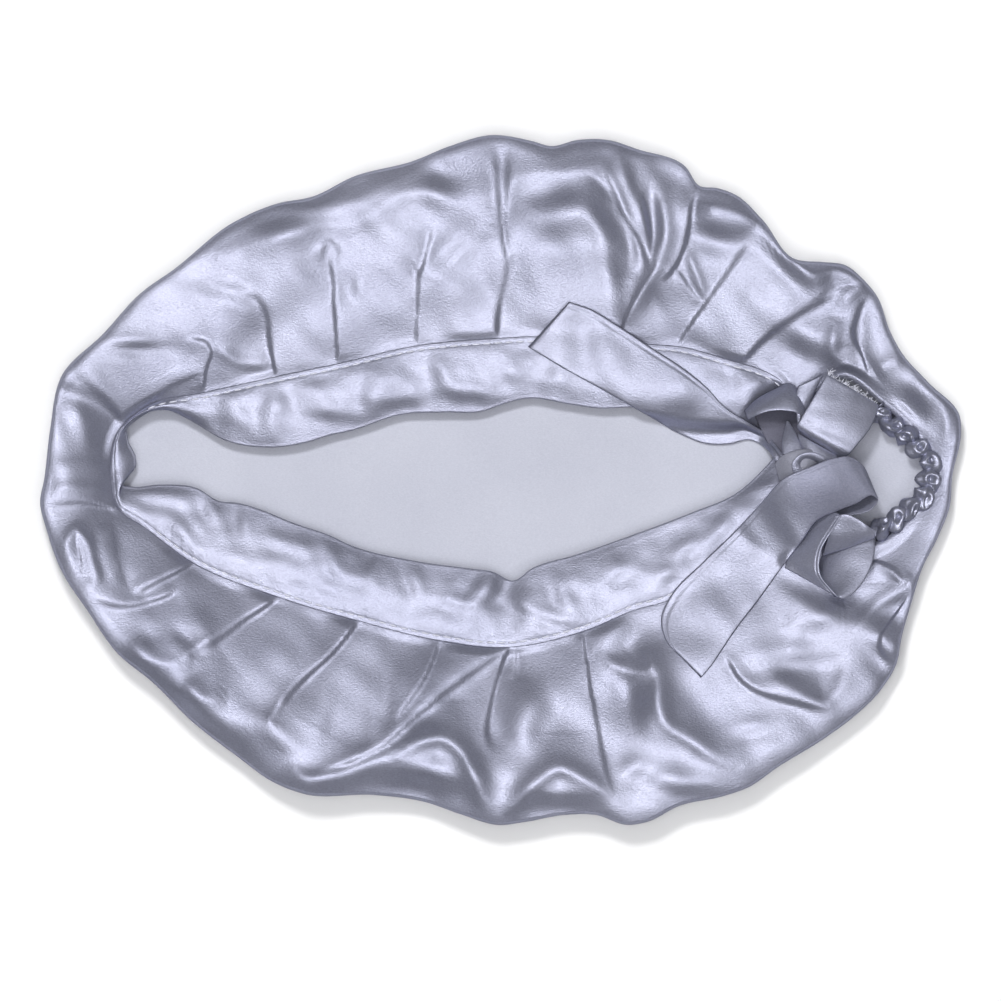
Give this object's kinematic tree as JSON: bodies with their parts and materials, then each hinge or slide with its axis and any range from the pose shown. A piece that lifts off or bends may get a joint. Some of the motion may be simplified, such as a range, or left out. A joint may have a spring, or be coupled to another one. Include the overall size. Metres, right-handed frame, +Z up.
{
  "type": "hair bonnet",
  "caption": "Satin sleep bonnet with a gathered crown, a folded front band, a ruched elastic nape and knotted self-fabric ties.",
  "frame": {"origin": "on the table under the middle of the bonnet as it lies crown-down", "axes": "+X from the forehead towards the nape, +Z up out of the mouth"},
  "size_m": [0.35, 0.262, 0.0265],
  "materials": {
    "crown_satin": "silvery lavender satin, matte on the reverse",
    "band_satin": "silvery lavender satin, two layers, edge-stitched",
    "casing_satin": "silvery lavender satin, ruched",
    "tie_satin": "silvery lavender satin, turned ribbon",
    "elastic_yarn": "braided elastic"
  },
  "bodies": {
    "bonnet": {"crown": "crown_satin", "front_band": "band_satin", "nape_casing": "casing_satin", "nape_elastic": "elastic_yarn", "tie_knot": "tie_satin", "upper_tie_root": "tie_satin", "lower_tie_root": "tie_satin", "lower_tie_curl": "tie_satin"},
    "upper_tail": {"upper_tie_tail": "tie_satin"},
    "lower_tail": {"lower_tie_tail": "tie_satin"}
  },
  "joints": [
    {"name": "upper_tail_lift", "type": "hinge", "parent": "bonnet", "child": "upper_tail", "pos_m": [0.106, 0.0095, 0.0121], "axis": [0.3621, 0.9322, 0], "range_deg": [0, 75]},
    {"name": "lower_tail_lift", "type": "hinge", "parent": "bonnet", "child": "lower_tail", "pos_m": [0.1151, -0.0088, 0.0226], "axis": [-0.7776, 0.6287, 0], "range_deg": [0, 75]}
  ]
}
